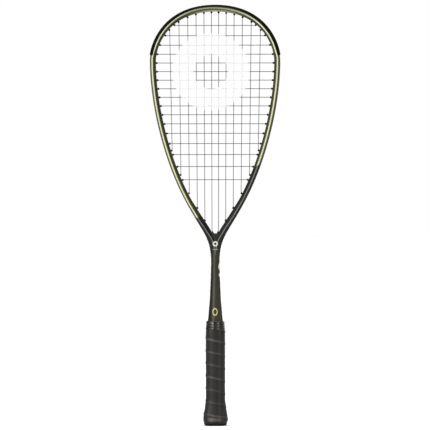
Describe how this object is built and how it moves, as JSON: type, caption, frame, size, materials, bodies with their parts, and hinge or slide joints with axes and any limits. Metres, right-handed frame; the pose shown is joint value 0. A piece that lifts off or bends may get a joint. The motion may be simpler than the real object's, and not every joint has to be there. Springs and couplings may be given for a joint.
{
  "type": "squash racket",
  "caption": "Squash racket with a teardrop head, open throat, woven string bed, head guard and wrapped handle with a flared butt.",
  "frame": {"origin": "centre of the butt's flat end face", "axes": "+Z along the shaft from the butt to the tip of the head; the strings lie in the XZ plane; +Y is normal to the strings and the front faces -Y"},
  "size_m": [0.2134, 0.0364, 0.686],
  "materials": {
    "frame_lacquer": "gloss lacquer over moulded carbon fibre, pale lime, black and charcoal",
    "guard_plastic": "satin black moulded nylon",
    "grommet_plastic": "satin black moulded nylon",
    "string_nylon": "grey synthetic multifilament with a thin coating",
    "handle_foam": "moulded rigid foam",
    "cap_plastic": "textured black nylon",
    "collar_rubber": "matt dark rubber",
    "staple_steel": "bright drawn wire",
    "grip_wrap": "dark synthetic leather, dry and slightly grained",
    "finishing_tape": "black vinyl tape"
  },
  "bodies": {
    "root": {"frame": "frame_lacquer", "throat_bridge": "frame_lacquer", "head_guard": "guard_plastic", "grommet_strip_right": "grommet_plastic", "grommet_strip_left": "grommet_plastic", "main_string": "string_nylon", "cross_string": "string_nylon", "shaft_foam_plug": "handle_foam", "pallet_front": "handle_foam", "pallet_back": "handle_foam", "butt_cap": "cap_plastic", "butt_cap_plug": "collar_rubber", "butt_staple_front": "staple_steel", "butt_staple_back": "staple_steel", "grip_wrap": "grip_wrap", "finishing_tape": "finishing_tape", "rubber_collar": "collar_rubber", "throat_grommet_right_1": "grommet_plastic", "throat_grommet_left_1": "grommet_plastic", "throat_grommet_right_2": "grommet_plastic", "throat_grommet_left_2": "grommet_plastic", "throat_grommet_right_3": "grommet_plastic", "throat_grommet_left_3": "grommet_plastic"}
  },
  "joints": []
}
